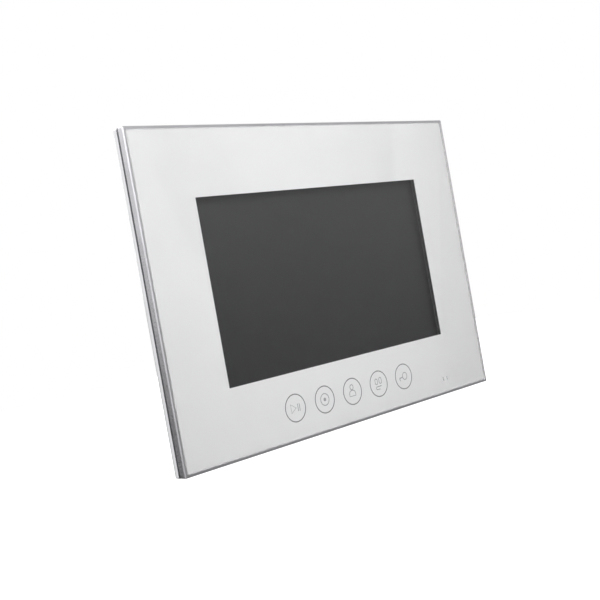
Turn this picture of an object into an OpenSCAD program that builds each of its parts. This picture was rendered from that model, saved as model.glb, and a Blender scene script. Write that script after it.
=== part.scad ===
// Wall-hung video intercom monitor with a back-printed glass front, touch keys and a 7-inch screen.
// X runs to the right, Z up, and the front faces -Y. The wall is the plane Y = 0, and the origin is
// the centre of the wall bracket's hole pattern on that plane. Depths are measured backwards from
// the glass's front face, which lies `depth` in front of the wall.

/* [Overall] */
// Width of the front panel over its metal frame
panel_w = 220.5; // [200:0.5:280]
// Height of the front panel over its metal frame
panel_h = 151.5; // [146:0.5:190]
// Depth from the glass's front face to the wall
depth = 24; // [23:0.5:34]
// Radius of the panel's corners, seen from the front
corner_r = 0.8; // [0.4:0.1:2]

/* [Glass front] */
// Thickness of the glass
glass_t = 2; // [1.5:0.1:3]
// Ground bevel on the glass's front edge
glass_bevel = 0.35; // [0.1:0.05:0.6]
// Thickness of the printed film behind the glass
print_t = 0.15; // [0.1:0.05:0.3]
// Width of the clear window in the print
window_w = 154.5; // [120:0.5:160]
// Height of the clear window in the print
window_h = 86.4; // [60:0.2:90]
// Thickness of the adhesive frame between the film and the housing
tape_t = 0.5; // [0.3:0.1:1]
// Width of the adhesive frame
tape_w = 5; // [3:0.5:5]

/* [Metal frame] */
// Wall thickness of the metal frame
frame_wall = 1.3; // [1:0.1:2]
// Gap between the glass and the metal frame
frame_gap = 0.15; // [0.1:0.05:0.4]
// Depth at which the frame's front lip starts
frame_lip = 0.3; // [0.1:0.05:0.6]
// Bevel on the frame's front edge, across the face
frame_bevel_w = 0.5; // [0.3:0.05:1]
// Depth at which the frame's flat side starts
frame_side = 0.8; // [0.7:0.05:1.4]
// Depth of the frame's back face
frame_back = 3.6; // [3.2:0.1:4.2]
// Width of the ledge that carries the glass
ledge_w = 3; // [2:0.25:4]
// How far the shadow groove stands in from the panel's side
groove_in = 0.8; // [0.3:0.1:1]
// Width of the shadow groove behind the frame
groove_w = 1.2; // [0.6:0.1:1.6]

/* [Housing] */
// Thickness of the front housing, behind the adhesive frame
slab_t = 7.35; // [7.2:0.05:9]
// Radius of the slab's rounded back edge
slab_r = 4; // [2:0.25:4]
// Wall thickness of both plastic shells
wall_t = 2; // [1.6:0.1:2.4]
// How far the rear cover stands in from the panel's edge
cover_inset = 15; // [13:0.5:16]
// Corner radius of the rear cover
cover_r = 6; // [5:0.5:9]
// Radius of the rear cover's back edge
cover_edge_r = 2; // [1:0.25:2]
// Gap between the rear cover and the wall
wall_gap = 0.5; // [0.3:0.1:1.5]
// Clearance between parts that fit together
fit = 0.2; // [0.1:0.05:0.3]

/* [Wall bracket] */
// Width of the bracket plate
bracket_w = 100; // [94:1:102]
// Height of the bracket plate
bracket_h = 78; // [74:1:82]
// Thickness of the bracket's sheet steel
bracket_t = 1.2; // [1:0.1:1.5]
// Distance between the corner screw holes, across
hole_x = 84; // [78:1:86]
// Distance between the corner screw holes, up
hole_z = 62; // [54:1:64]
// Radius of the corner screw holes and half the slots' width
hole_r = 2.1; // [1.6:0.1:2.3]
// Distance between the two wall-box slots
box_pitch = 60; // [58:0.5:61]
// Length of each wall-box slot
slot_len = 8; // [5:0.5:8]
// Width of the cable opening
cable_w = 44; // [36:1:46]
// Height of the cable opening
cable_h = 34; // [26:1:38]
// Distance between the hooks, across
hook_x = 66; // [60:1:70]
// Distance between the hooks, up
hook_z = 46; // [42:1:50]
// Width of each hook
hook_w = 8; // [5:0.5:9]
// Height of each hook's upturned tip
hook_tip = 4.8; // [3:0.1:5]
// How far the monitor lifts before it comes off the hooks
lift = 6; // [5:0.1:6.5]

/* [Touch keys] */
// Number of touch keys
key_count = 5; // [3:1:6]
// Distance between the key centres
key_pitch = 20; // [15:0.5:22]
// Radius of each key's ring
key_r = 6.5; // [5:0.25:7]
// Distance from the window's lower edge to the key centres
key_drop = 16.7; // [14:0.1:18]
// Distance from the panel's lower edge to the microphone
mic_edge = 8.35; // [7.95:0.05:9.5]
// Sideways place of the microphone
mic_x = 73.7; // [68:0.1:90]

/* [Screen] */
// Width of the display module
lcd_w = 164.9; // [150:0.1:166]
// Height of the display module
lcd_h = 100; // [80:0.1:101]
// Thickness of the display module
lcd_t = 5.5; // [4.6:0.1:5.6]

/* [Electronics] */
// Width of the main board
board_w = 112; // [106:1:114]
// Height of the main board
board_h = 109; // [106:1:112]
// Thickness of the main board
board_t = 1.6; // [1:0.1:2]
// Gap between the display module and the main board
board_gap = 2.85; // [2.6:0.05:3.2]
// Radius of the speaker
speaker_r = 16; // [10:0.5:16]
// Sideways place of the speaker
speaker_x = 74; // [73.5:0.1:75]
// Sideways place of the memory card
card_x = 22; // [16:1:30]
// How far the memory card stands in from the rear cover's bottom wall
card_in = 0.3; // [0:0.1:0.6]
// Sideways place of the power switch
switch_x = -20; // [-34:1:-16]
// Travel of the power switch
switch_travel = 2.5; // [1.5:0.25:3]
// Travel of each configuration slider
dip_travel = 1.5; // [1:0.1:1.6]
// Travel of the reset button
reset_travel = 0.3; // [0.2:0.05:0.4]

/* [Hidden] */
$fn = 48;
// Depths of the layers behind the glass
print_back = glass_t + print_t;
tape_back = print_back + tape_t;
plate_back = tape_back + wall_t;
slab_back = tape_back + slab_t;
lcd_back = plate_back + lcd_t;
board_front = lcd_back + board_gap;
board_back = board_front + board_t;
cover_back = depth - wall_gap;
cover_floor = cover_back - wall_t;
// Glass, film and tape
glass_w = panel_w - 2 * (frame_wall + frame_gap);
glass_h = panel_h - 2 * (frame_wall + frame_gap);
film_in = 0.2;
tape_in = 0.5;
// The front housing's plate, inside the metal frame's ledge
plate_w = panel_w - 2 * (frame_wall + ledge_w + fit);
plate_h = panel_h - 2 * (frame_wall + ledge_w + fit);
lip_front = frame_back + groove_w;
cavity_back = slab_back - wall_t;
cover_w = panel_w - 2 * cover_inset;
cover_h = panel_h - 2 * cover_inset;
inner_w = cover_w - 2 * wall_t;
inner_h = cover_h - 2 * wall_t;
inner_r = cover_r - wall_t;
// Cooling slots in the rear cover's top
vent_w = 2;
vent_t = 5;
vent_pitch = 6;
// Bracket recess in the rear cover's back
recess_gap = 3;
lift_gap = 1;
recess_w = bracket_w + 2 * recess_gap;
recess_top = bracket_h / 2 + recess_gap;
recess_low = -bracket_h / 2 - lift - lift_gap;
recess_h = recess_top - recess_low;
recess_z = (recess_top + recess_low) / 2;
recess_floor = cover_back - 3;
recess_inner = recess_floor - wall_t;
// Hooks
hook_gap = 0.3;
hook_front = recess_inner - hook_gap - bracket_t;
hook_slot_h = lift + bracket_t + 0.8;
// Microphone slots in the glass and film
mic_slot_w = 0.7;
mic_slot_h = 1.9;
mic_pitch = 3.4;
mic_z = mic_edge - panel_h / 2;
mic_r = 2;
boot_r = 3;
// Touch board behind the keys
key_z = -window_h / 2 - key_drop;
glue_t = 0.2;
touch_t = 1.2;
touch_w = (key_count - 1) * key_pitch + 2 * key_r + 19;
touch_h = 2 * key_r + 2.2;
// Display layers
gasket_w = 2;
bezel_t = 0.5;
cell_t = 1.4;
diffuser_t = 0.5;
led_bar = 2;
// Screws: shank, pilot hole, clearance hole and boss radii
shank_r = 1.25;
pilot_r = 1.3;
clear_r = 1.7;
boss_r = 3.5;
small_boss_r = 3;
head_r = 2.75;
head_t = 2;
small_head_r = 2.5;
low_head_t = 1.6;
sink_r = head_r + 0.25;
// Case screw places, in the rear cover's corners
case_x = cover_w / 2 - 7.25;
case_z = cover_h / 2 - 7.25;
case_shelf = slab_back + 3;
// Clips that hold the display down
clip_x = lcd_w / 2 + 5;
clip_z = 30;
clip_t = 0.8;
clip_w = 8;
// Main board, its screws and what is on it
board_top = 52;
board_low = board_top - board_h;
board_hole_x = 50;
board_hole_z = 47.5;
socket_out = 1;
socket_t = recess_floor + socket_out - board_back;
socket_h = 5.8;
socket_wall = 0.6;
pin_pitch = 2.5;
pin_w = 0.64;
door_x = [-15, 0];
power_x = 13;
socket_z = 5;
dip_x = -10;
dip_z = -9;
dip_w = 7.6;
dip_h = 6.2;
dip_t = 3;
dip_pitch = 2.54;
dip_knob = 1;
dip_slot_d = 1.2;
// Memory card and its socket
card_w = 11;
card_l = 15;
card_t = 1;
card_front = board_back + 0.5;
card_low = -cover_h / 2 + card_in;
sd_w = 14.5;
sd_h = 15.5;
sd_t = 2;
// Power switch
switch_w = 9;
switch_h = 4;
switch_t = 3.6;
knob_w = 2;
knob_t = 1.4;
knob_g = board_back + switch_t / 2;
knob_out = 1.2;
knob_in = 1.6;
// Reset switch
reset_x = -4;
reset_w = 6;
reset_r = 1.2;
// Speaker
ring_gap = 0.4;
ring_t = 1.2;
speaker_front = cover_floor - 7;
foam_t = 1;
magnet_r = speaker_r * 0.55;
plug_w = 5;
plug_t = 3;
plug_x = board_w / 2 - 4;
wire_r = 0.5;

// ---- Shared shapes ----

// Rectangle with round corners, centred. A radius of half its height gives a slot
module round_rect(w, h, r) {
  if (r <= 0) {
    square([w, h], center = true);
  } else if (2 * r >= h) {
    square([w - h, h], center = true);
    for (s = [-1, 1])
      translate([s * (w - h) / 2, 0])
        circle(r = h / 2);
  } else {
    square([w - 2 * r, h], center = true);
    square([w, h - 2 * r], center = true);
    for (sx = [-1, 1], sz = [-1, 1])
      translate([sx * (w / 2 - r), sz * (h / 2 - r)])
        circle(r = r);
  }
}

// Plate parallel to the wall, between two depths
module plate(w, h, front, back, r = 0, at = [0, 0]) {
  translate([at[0], back - depth, at[1]])
    rotate([90, 0, 0])
      linear_extrude(back - front)
        round_rect(w, h, r);
}

// Round bar that runs front to back
module rod(r, front, back, at = [0, 0]) {
  translate([at[0], back - depth, at[1]])
    rotate([90, 0, 0])
      cylinder(r = r, h = back - front);
}

// Profile of a slab seen along one edge: half-width across, depth back, round back edges
module back_profile(w, front, back, r) {
  difference() {
    translate([-w / 2, front - depth])
      square([w, back - front]);
    for (s = [-1, 1])
      translate([s * w / 2, back - depth])
        square(2 * r, center = true);
  }
  for (s = [-1, 1])
    translate([s * (w / 2 - r), back - r - depth])
      circle(r = r);
}

// Slab whose back edge is round on all four sides
module round_back(w, h, front, back, corner, edge) {
  intersection() {
    plate(w, h, front, back, corner);
    linear_extrude(h, center = true)
      back_profile(w, front, back, edge);
    rotate([0, 90, 0])
      linear_extrude(w, center = true)
        back_profile(h, front, back, edge);
  }
}

// Copies at (x, z) and its three mirror images
module at_four(x, z) {
  for (sx = [-1, 1], sz = [-1, 1])
    translate([sx * x, 0, sz * z])
      children();
}

// Pan-head screw that runs forwards from its seat depth, centred on the axis
module screw_from_back(seat, tip, head, head_height) {
  rod(head, seat, seat + head_height);
  rod(shank_r, tip, seat);
}

// ---- Wall bracket ----

// Sheet tab bent out of the plate, with its tip turned up. The monitor hangs on its top face, z = 0
module hook() {
  reach = depth - hook_front - bracket_t / 2;
  translate([-hook_w / 2, hook_front - depth, -bracket_t]) {
    cube([hook_w, reach, bracket_t]);
    cube([hook_w, bracket_t, bracket_t + hook_tip]);
  }
}

module wall_bracket() {
  color("silver") {
    difference() {
      plate(bracket_w, bracket_h, depth - bracket_t, depth, 4);
      plate(cable_w, cable_h, depth - 2 * bracket_t, depth + 1, 3);
      at_four(hole_x / 2, hole_z / 2)
        rod(hole_r, depth - 2 * bracket_t, depth + 1);
      for (s = [-1, 1])
        plate(slot_len, 2 * hole_r, depth - 2 * bracket_t, depth + 1, hole_r, [s * box_pitch / 2, 0]);
      at_four(hook_x / 2, hook_z / 2)
        translate([-hook_w / 2, -2 * bracket_t, 0])
          cube([hook_w, 3 * bracket_t, hook_tip + 1]);
    }
    at_four(hook_x / 2, hook_z / 2)
      hook();
  }
}

// ---- Glass front ----

module mic_slots(front, back) {
  for (s = [-1, 1])
    plate(mic_slot_w, mic_slot_h, front, back, 0.25, [mic_x + s * mic_pitch / 2, mic_z]);
}

module front_glass() {
  color("aliceblue", 0.6)
    difference() {
      intersection() {
        plate(glass_w, glass_h, 0, glass_t, corner_r);
        bevel_prism(glass_w, glass_h, 0, glass_bevel, glass_bevel, glass_t);
      }
      mic_slots(-1, glass_t + 1);
    }
}

// Block with a bevel all round its front edge
module bevel_prism(w, h, front, bevel_across, bevel_deep, back) {
  intersection() {
    linear_extrude(h, center = true)
      bevel_profile(w, front, bevel_across, bevel_deep, back);
    rotate([0, 90, 0])
      linear_extrude(w, center = true)
        bevel_profile(h, front, bevel_across, bevel_deep, back);
  }
}

module bevel_profile(w, front, across, deep, back) {
  polygon([
    [-w / 2 + across, front - depth],
    [w / 2 - across, front - depth],
    [w / 2, front + deep - depth],
    [w / 2, back - depth],
    [-w / 2, back - depth],
    [-w / 2, front + deep - depth]
  ]);
}

module panel_print() {
  color("white")
    difference() {
      plate(glass_w - 2 * film_in, glass_h - 2 * film_in, glass_t, print_back, corner_r);
      plate(window_w, window_h, glass_t - 1, print_back + 1);
      mic_slots(glass_t - 1, print_back + 1);
    }
}

module panel_tape() {
  w = glass_w - 2 * tape_in;
  h = glass_h - 2 * tape_in;
  color("dimgray")
    difference() {
      plate(w, h, print_back, tape_back);
      plate(w - 2 * tape_w, h - 2 * tape_w, print_back - 1, tape_back + 1);
    }
}

module front_frame() {
  color("silver")
    difference() {
      intersection() {
        plate(panel_w, panel_h, frame_lip, frame_back, corner_r);
        bevel_prism(panel_w, panel_h, frame_lip, frame_bevel_w, frame_side - frame_lip, frame_back);
      }
      plate(panel_w - 2 * frame_wall, panel_h - 2 * frame_wall, -1, tape_back, corner_r);
      plate(plate_w + 2 * fit, plate_h + 2 * fit, 0, frame_back + 1);
    }
}

// ---- Casings ----

module front_housing() {
  color("white")
    difference() {
      union() {
        difference() {
          union() {
            plate(plate_w, plate_h, tape_back, plate_back);
            plate(panel_w - 2 * groove_in, panel_h - 2 * groove_in, frame_back, lip_front, corner_r);
            round_back(panel_w, panel_h, lip_front, slab_back, corner_r, slab_r);
          }
          plate(panel_w - 2 * wall_t, panel_h - 2 * wall_t, plate_back, cavity_back);
          plate(inner_w, inner_h, cavity_back - 1, slab_back + 1, inner_r);
        }
        at_four(case_x, case_z)
          rod(boss_r, plate_back - 0.5, slab_back);
        at_four(clip_x, clip_z)
          rod(small_boss_r, plate_back - 0.5, lcd_back);
      }
      plate(window_w + 2 * gasket_w + 2 * fit + 1.5, window_h + 2 * gasket_w + 2 * fit + 1.5, 0, plate_back + 1);
      plate(touch_w + 2, touch_h + 2, 0, plate_back + 1, 0, [0, key_z]);
      rod(boot_r + fit, 0, plate_back + 1, [mic_x, mic_z]);
      at_four(case_x, case_z)
        rod(pilot_r, plate_back + 1, slab_back + 1);
      at_four(clip_x, clip_z)
        rod(pilot_r, plate_back + 1, lcd_back + 1);
    }
}

// Row of upright slots through the rear cover's top wall
module vents() {
  for (i = [-6 : 6])
    translate([i * vent_pitch - vent_w / 2, board_back - depth, cover_h / 2 - wall_t - 1])
      cube([vent_w, vent_t, wall_t + 2]);
}

module speaker_slots() {
  reach = speaker_r - 3;
  for (i = [-4 : 4])
    plate(2 * sqrt(reach * reach - i * i * 9), 1.4, cover_floor - 1, cover_back + 1, 0.6,
          [speaker_x, i * 3]);
}

module socket_windows() {
  for (x = door_x)
    plate(socket_w(4) + 2 * fit, socket_h + 2 * fit, recess_inner - 1, recess_floor + 1, 0, [x, socket_z]);
  plate(socket_w(2) + 2 * fit, socket_h + 2 * fit, recess_inner - 1, recess_floor + 1, 0,
        [power_x, socket_z]);
  plate(dip_w + 2, dip_h + 2, recess_inner - 1, recess_floor + 1, 0.8, [dip_x, dip_z]);
}

module bottom_openings() {
  low = -cover_h / 2 - 1;
  translate([card_x - card_w / 2 - 0.6, card_front - 0.6 - depth, low])
    cube([card_w + 1.2, card_t + 1.2, wall_t + 2]);
  translate([switch_x - knob_w / 2 - 0.6, knob_g - knob_t / 2 - 0.5 - depth, low])
    cube([knob_w + switch_travel + 1.2, knob_t + 1, wall_t + 2]);
  translate([reset_x, knob_g - depth, low])
    cylinder(r = 0.9, h = wall_t + 2);
}

module rear_cover() {
  lip_w = inner_w - 2 * fit;
  lip_h = inner_h - 2 * fit;
  lip_t = 1.4;
  color("whitesmoke")
    difference() {
      union() {
        difference() {
          round_back(cover_w, cover_h, slab_back, cover_back, cover_r, cover_edge_r);
          plate(inner_w, inner_h, slab_back - 1, cover_floor, inner_r);
        }
        difference() {
          union() {
            plate(lip_w, lip_h, cavity_back + fit, slab_back, inner_r);
            plate(inner_w + 1, inner_h + 1, slab_back, slab_back + lip_t, inner_r);
          }
          plate(lip_w - 2 * lip_t, lip_h - 2 * lip_t, 0, slab_back + wall_t, inner_r - lip_t);
        }
        plate(recess_w + 2 * wall_t, recess_h + 2 * wall_t, recess_inner, cover_floor + 0.5, 5, [0, recess_z]);
        at_four(case_x, case_z)
          rod(sink_r + 1.2, slab_back, cover_floor + 0.5);
        at_four(board_hole_x, board_hole_z)
          rod(small_boss_r, board_back, cover_floor + 0.5);
        rod(speaker_r + ring_gap + ring_t, speaker_front + 3, cover_floor + 0.5, [speaker_x, 0]);
      }
      plate(recess_w, recess_h, recess_floor, cover_back + 1, 3, [0, recess_z]);
      at_four(case_x, case_z) {
        rod(clear_r, slab_back - 1, case_shelf + 1);
        rod(sink_r, case_shelf, cover_back + 1);
      }
      at_four(board_hole_x, board_hole_z)
        rod(pilot_r, board_back - 1, recess_floor - 1);
      rod(speaker_r + ring_gap, speaker_front, cover_floor, [speaker_x, 0]);
      speaker_slots();
      socket_windows();
      bottom_openings();
      at_four(hook_x / 2, hook_z / 2)
        translate([-hook_w / 2 - 1, recess_inner - 1 - depth, 0.1 - hook_slot_h])
          cube([hook_w + 2, wall_t + 2, hook_slot_h]);
      vents();
    }
}

module case_screws() {
  color("dimgray")
    at_four(case_x, case_z)
      difference() {
        screw_from_back(case_shelf, plate_back + 1.5, head_r, head_t);
        cross_recess(case_shelf + head_t);
      }
}

// Cross-shaped drive recess cut into a head whose outer face is at the given depth
module cross_recess(face) {
  for (a = [0, 90])
    translate([0, face - depth, 0])
      rotate([0, a, 0])
        cube([3, 1.6, 0.7], center = true);
}

// ---- Display ----

module lcd_gasket() {
  color("black")
    difference() {
      plate(window_w + 2 * gasket_w + 1.5, window_h + 2 * gasket_w + 1.5, tape_back - 0.4, plate_back);
      plate(window_w + 1.5, window_h + 1.5, 0, plate_back + 1);
    }
}

module lcd_bezel() {
  color("lightgray")
    difference() {
      plate(lcd_w, lcd_h, plate_back, lcd_back, 0.5);
      plate(lcd_w - 2 * bezel_t, lcd_h - 2 * bezel_t, plate_back + bezel_t, lcd_back - bezel_t);
      plate(window_w + 2.5, window_h + 2.1, 0, plate_back + 1);
      plate(30, 6, lcd_back - 1, lcd_back + 1, 0, [0, -lcd_h / 2 + 10]);
    }
}

module lcd_layer(front, thick, less_w = 0) {
  plate(lcd_w - 2 * bezel_t - 2 * fit - less_w, lcd_h - 2 * bezel_t - 2 * fit, front, front + thick);
}

module lcd_cell() {
  color([0.1, 0.1, 0.11])
    lcd_layer(plate_back + bezel_t, cell_t);
}

module lcd_diffuser() {
  color("white")
    lcd_layer(plate_back + bezel_t + cell_t, diffuser_t);
}

module guide_shape() {
  front = plate_back + bezel_t + cell_t + diffuser_t;
  thick = lcd_back - bezel_t - front;
  full_w = lcd_w - 2 * bezel_t - 2 * fit;
  full_h = lcd_h - 2 * bezel_t - 2 * fit;
  plate(full_w, full_h - led_bar, front, front + thick, 0, [0, led_bar / 2]);
}

module lcd_light_guide() {
  color("azure")
    guide_shape();
}

module backlight_leds() {
  front = plate_back + bezel_t + cell_t + diffuser_t;
  full_h = lcd_h - 2 * bezel_t - 2 * fit;
  low = -full_h / 2 + led_bar / 2 - 0.1;
  color("lightyellow")
    for (i = [-8 : 8])
      plate(3.2, led_bar - 0.6, front + 0.1, front + 1.5, 0, [i * 9, low]);
}

module lcd_flex() {
  z = -lcd_h / 2 + 10;
  color("peru") {
    plate(26, 5, lcd_back - bezel_t, lcd_back + 0.4, 0, [0, z]);
    plate(26, 20, lcd_back + 0.4, lcd_back + 0.6, 0, [0, z + 7.5]);
    plate(26, 0.2, lcd_back + 0.6, board_front, 0, [0, z + 17.4]);
  }
}

module lcd_clips() {
  reach = clip_x + small_boss_r - (lcd_w / 2 - 3);
  color("silver")
    for (sx = [-1, 1], sz = [-1, 1])
      difference() {
        plate(reach, clip_w, lcd_back, lcd_back + clip_t, 0.8,
              [sx * (clip_x + small_boss_r - reach / 2), sz * clip_z]);
        rod(clear_r, lcd_back - 1, lcd_back + clip_t + 1, [sx * clip_x, sz * clip_z]);
      }
}

module clip_screws() {
  color("dimgray")
    at_four(clip_x, clip_z)
      difference() {
        screw_from_back(lcd_back + clip_t, plate_back + 2, small_head_r, low_head_t);
        cross_recess(lcd_back + clip_t + low_head_t);
      }
}

// ---- Touch keys ----

module touch_adhesive() {
  color("ivory")
    difference() {
      plate(touch_w, touch_h, print_back, print_back + glue_t, 0, [0, key_z]);
      for (i = [0 : key_count - 1])
        rod(key_r - 1, 0, print_back + 1, [(i - (key_count - 1) / 2) * key_pitch, key_z]);
    }
}

module touch_board() {
  front = print_back + glue_t;
  color("darkgreen")
    difference() {
      plate(touch_w, touch_h, front, front + touch_t, 0.5, [0, key_z]);
      for (i = [0 : key_count - 1])
        rod(1.1, front - 1, front + touch_t + 1, [(i - (key_count - 1) / 2) * key_pitch, key_z]);
    }
}

module touch_chip() {
  back = print_back + glue_t + touch_t;
  color([0.15, 0.15, 0.15])
    plate(9, 6, back, back + 1.2, 0, [key_pitch / 2, key_z]);
}

module key_leds() {
  back = print_back + glue_t + touch_t;
  color("white")
    for (i = [0 : key_count - 1])
      plate(3.4, 2.8, back, back + 1, 0, [(i - (key_count - 1) / 2) * key_pitch, key_z]);
}

module touch_cable() {
  back = print_back + glue_t + touch_t;
  x = -key_pitch * 1.5;
  color("lightgray") {
    plate(8, 4, back, back + 1.4, 0, [x, key_z]);
    plate(6, 7, back + 1.4, back + 1.6, 0, [x, key_z + 1.5]);
    plate(6, 0.2, back + 1.6, board_front - 1.2, 0, [x, key_z + 4.9]);
    plate(6, 7, board_front - 1.2, board_front - 1, 0, [x, key_z + 8.3]);
    plate(8, 4, board_front - 1, board_front, 0, [x, key_z + 9.8]);
  }
}

// ---- Sound ----

module mic_boot() {
  color([0.2, 0.2, 0.2])
    difference() {
      rod(boot_r, tape_back, plate_back + 2.6, [mic_x, mic_z]);
      rod(1.2, 0, plate_back + 1, [mic_x, mic_z]);
      rod(mic_r, plate_back, plate_back + 3, [mic_x, mic_z]);
    }
}

module microphone() {
  color("silver") {
    rod(mic_r - 0.05, plate_back + 0.1, plate_back + 2.4, [mic_x, mic_z]);
    for (s = [-1, 1])
      rod(0.25, plate_back + 2.4, plate_back + 3.2, [mic_x + s * 0.9, mic_z]);
  }
}

// Solid of revolution about the speaker's axis. Its profile is radius across, depth up
module speaker_turned() {
  translate([speaker_x, -depth, 0])
    rotate([-90, 0, 0])
      rotate_extrude()
        children();
}

module speaker_gasket() {
  color("black")
    difference() {
      rod(speaker_r, cover_floor - foam_t, cover_floor, [speaker_x, 0]);
      rod(speaker_r - 2, cover_floor - foam_t - 1, cover_floor + 1, [speaker_x, 0]);
    }
}

module speaker_frame() {
  back = cover_floor - foam_t;
  color("gray")
    difference() {
      union() {
        rod(speaker_r, back - 1.2, back, [speaker_x, 0]);
        rod(speaker_r - 2, back - 3.4, back, [speaker_x, 0]);
      }
      rod(speaker_r - 3, back - 2.6, back + 1, [speaker_x, 0]);
      rod(magnet_r * 0.6, back - 4, back, [speaker_x, 0]);
    }
}

module speaker_magnet() {
  back = cover_floor - foam_t - 3.4;
  color("dimgray")
    rod(magnet_r, back - 2.4, back, [speaker_x, 0]);
}

module speaker_cone() {
  back = cover_floor - foam_t;
  outer = speaker_r - 3.2;
  hub = magnet_r * 0.55;
  color([0.12, 0.12, 0.12])
    speaker_turned()
      polygon([
        [0, back - 1.6], [hub, back - 1.9], [outer, back - 0.5], [outer, back - 0.1],
        [hub, back - 1.5], [0, back - 1.2]
      ]);
}

module speaker_plug() {
  color("ivory")
    plate(plug_w, 6, board_back, board_back + plug_t, 0.4, [plug_x, 0]);
}

// Two straight wires from the plug's side to the speaker's side
module speaker_lead() {
  start = plug_x + plug_w / 2;
  end = speaker_x - magnet_r - 0.1;
  for (s = [-1, 1])
    color(s < 0 ? "red" : "black")
      translate([start, board_back + plug_t / 2 - depth, s])
        rotate([0, 90, 0])
          cylinder(r = wire_r, h = end - start);
}

// ---- Main board ----

module main_board() {
  mid = (board_top + board_low) / 2;
  color("seagreen")
    difference() {
      plate(board_w, board_h, board_front, board_back, 1, [0, mid]);
      at_four(board_hole_x, board_hole_z)
        rod(clear_r, board_front - 1, board_back + 1);
    }
}

module chip(w, h, t, x, z) {
  plate(w, h, board_back, board_back + t, 0.2, [x, z]);
}

module main_chips() {
  color([0.15, 0.15, 0.15]) {
    chip(14, 14, 1.4, -10, 32);
    chip(10, 8, 1.2, -10, 19);
    chip(8, 6, 1.1, 16, 17);
    chip(6, 5, 1.5, -45, -36);
    chip(5, 4, 1.4, 42, -5);
    chip(5, 6, 1.4, -42, 8);
  }
}

module shield_can() {
  color("silver")
    difference() {
      plate(22, 18, board_back, board_back + 2.6, 0.5, [12, 33]);
      plate(21.4, 17.4, board_back - 1, board_back + 2.3, 0.3, [12, 33]);
    }
}

module capacitors() {
  spots = [[-48, 24], [-48, 32], [-36, 48], [-28, 48], [-43, -16], [-43, -8]];
  color("lightsteelblue")
    for (p = spots) {
      chip(6.4, 6.4, 0.8, p[0], p[1]);
      rod(3, board_back + 0.8, board_back + 3.4, p);
    }
}

module inductors() {
  spots = [[-21, -22], [-21, -33]];
  color([0.25, 0.25, 0.27])
    for (p = spots)
      difference() {
        chip(8, 8, 3.2, p[0], p[1]);
        rod(2.6, board_back + 2.8, board_back + 4, p);
      }
}

module board_screws() {
  color("dimgray")
    at_four(board_hole_x, board_hole_z)
      difference() {
        union() {
          rod(small_head_r, board_front - low_head_t, board_front);
          rod(shank_r, board_front, recess_floor - 1.5);
        }
        cross_recess(board_front - low_head_t);
      }
}

// ---- Sockets and controls ----

function socket_w(pins) = pins * pin_pitch + 2.4;

module socket_shell(pins, x) {
  difference() {
    chip(socket_w(pins), socket_h, socket_t, x, socket_z);
    plate(socket_w(pins) - 2 * socket_wall, socket_h - 2 * socket_wall, board_back + 1.5,
          board_back + socket_t + 1, 0, [x, socket_z]);
    for (i = [0 : pins - 1])
      plate(pin_w + 0.1, pin_w + 0.1, board_back - 1, board_back + 2, 0, [pin_place(pins, i, x), socket_z]);
    plate(pin_pitch, socket_h / 2, board_back + 3, board_back + socket_t + 1, 0, [x, socket_z - socket_h / 2]);
  }
}

function pin_place(pins, i, x) = x + (i - (pins - 1) / 2) * pin_pitch;

module door_sockets() {
  color("ivory")
    for (x = door_x)
      socket_shell(4, x);
}

module power_socket() {
  color("firebrick")
    socket_shell(2, power_x);
}

module socket_pins() {
  color("gold") {
    for (x = door_x, i = [0 : 3])
      plate(pin_w, pin_w, board_back, board_back + socket_t - 1.2, 0, [pin_place(4, i, x), socket_z]);
    for (i = [0, 1])
      plate(pin_w, pin_w, board_back, board_back + socket_t - 1.2, 0, [pin_place(2, i, power_x), socket_z]);
  }
}

module dip_switch() {
  run = dip_travel + dip_knob + 0.6;
  color("royalblue")
    difference() {
      chip(dip_w, dip_h, dip_t, dip_x, dip_z);
      for (s = [-1, 1])
        plate(dip_knob + 0.4, run, board_back + dip_t - dip_slot_d, board_back + dip_t + 1, 0,
              [dip_x + s * dip_pitch / 2, dip_z]);
    }
}

module dip_slider(s) {
  color("white")
    plate(dip_knob, dip_knob, board_back + dip_t - dip_slot_d + 0.1, board_back + dip_t + 0.5, 0,
          [dip_x + s * dip_pitch / 2, dip_z - dip_travel / 2]);
}

module dip_slider_1() {
  dip_slider(-1);
}

module dip_slider_2() {
  dip_slider(1);
}

module sd_socket() {
  color("silver")
    difference() {
      chip(sd_w, sd_h, sd_t, card_x, board_low + sd_h / 2);
      translate([card_x - card_w / 2 - 0.2, card_front - 0.15 - depth, board_low - 1])
        cube([card_w + 0.4, card_t + 0.3, sd_h - 1]);
    }
}

module sd_card() {
  notch = 1.2;
  color([0.1, 0.1, 0.12])
    translate([card_x - card_w / 2, card_front - depth, card_low])
      difference() {
        cube([card_w, card_t, card_l]);
        translate([card_w - notch, -1, card_l - 4])
          cube([notch + 1, card_t + 2, 5]);
        translate([2, card_t - 0.2, 0.5])
          cube([card_w - 4, 1, 0.6]);
      }
}

module power_switch() {
  run = knob_w + switch_travel + 0.6;
  mid = switch_x + switch_travel / 2;
  color("dimgray")
    difference() {
      chip(switch_w, switch_h, switch_t, mid, board_low + switch_h / 2);
      translate([mid - run / 2, knob_g - knob_t / 2 - 0.2 - depth, board_low - 1])
        cube([run, knob_t + 0.4, knob_in + 1.3]);
    }
}

module power_knob() {
  low = -cover_h / 2 - knob_out;
  color("black")
    translate([switch_x - knob_w / 2, knob_g - knob_t / 2 - depth, low])
      cube([knob_w, knob_t, board_low + knob_in - low]);
}

module reset_switch() {
  color("dimgray")
    difference() {
      chip(reset_w, switch_h, switch_t, reset_x, board_low + switch_h / 2);
      translate([reset_x, knob_g - depth, board_low - 1])
        cylinder(r = reset_r + 0.1, h = 1 + 1.6 + reset_travel);
    }
}

module reset_plunger() {
  color("orange")
    translate([reset_x, knob_g - depth, board_low - 1.3])
      cylinder(r = reset_r, h = 1.3 + 1.3);
}

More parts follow.
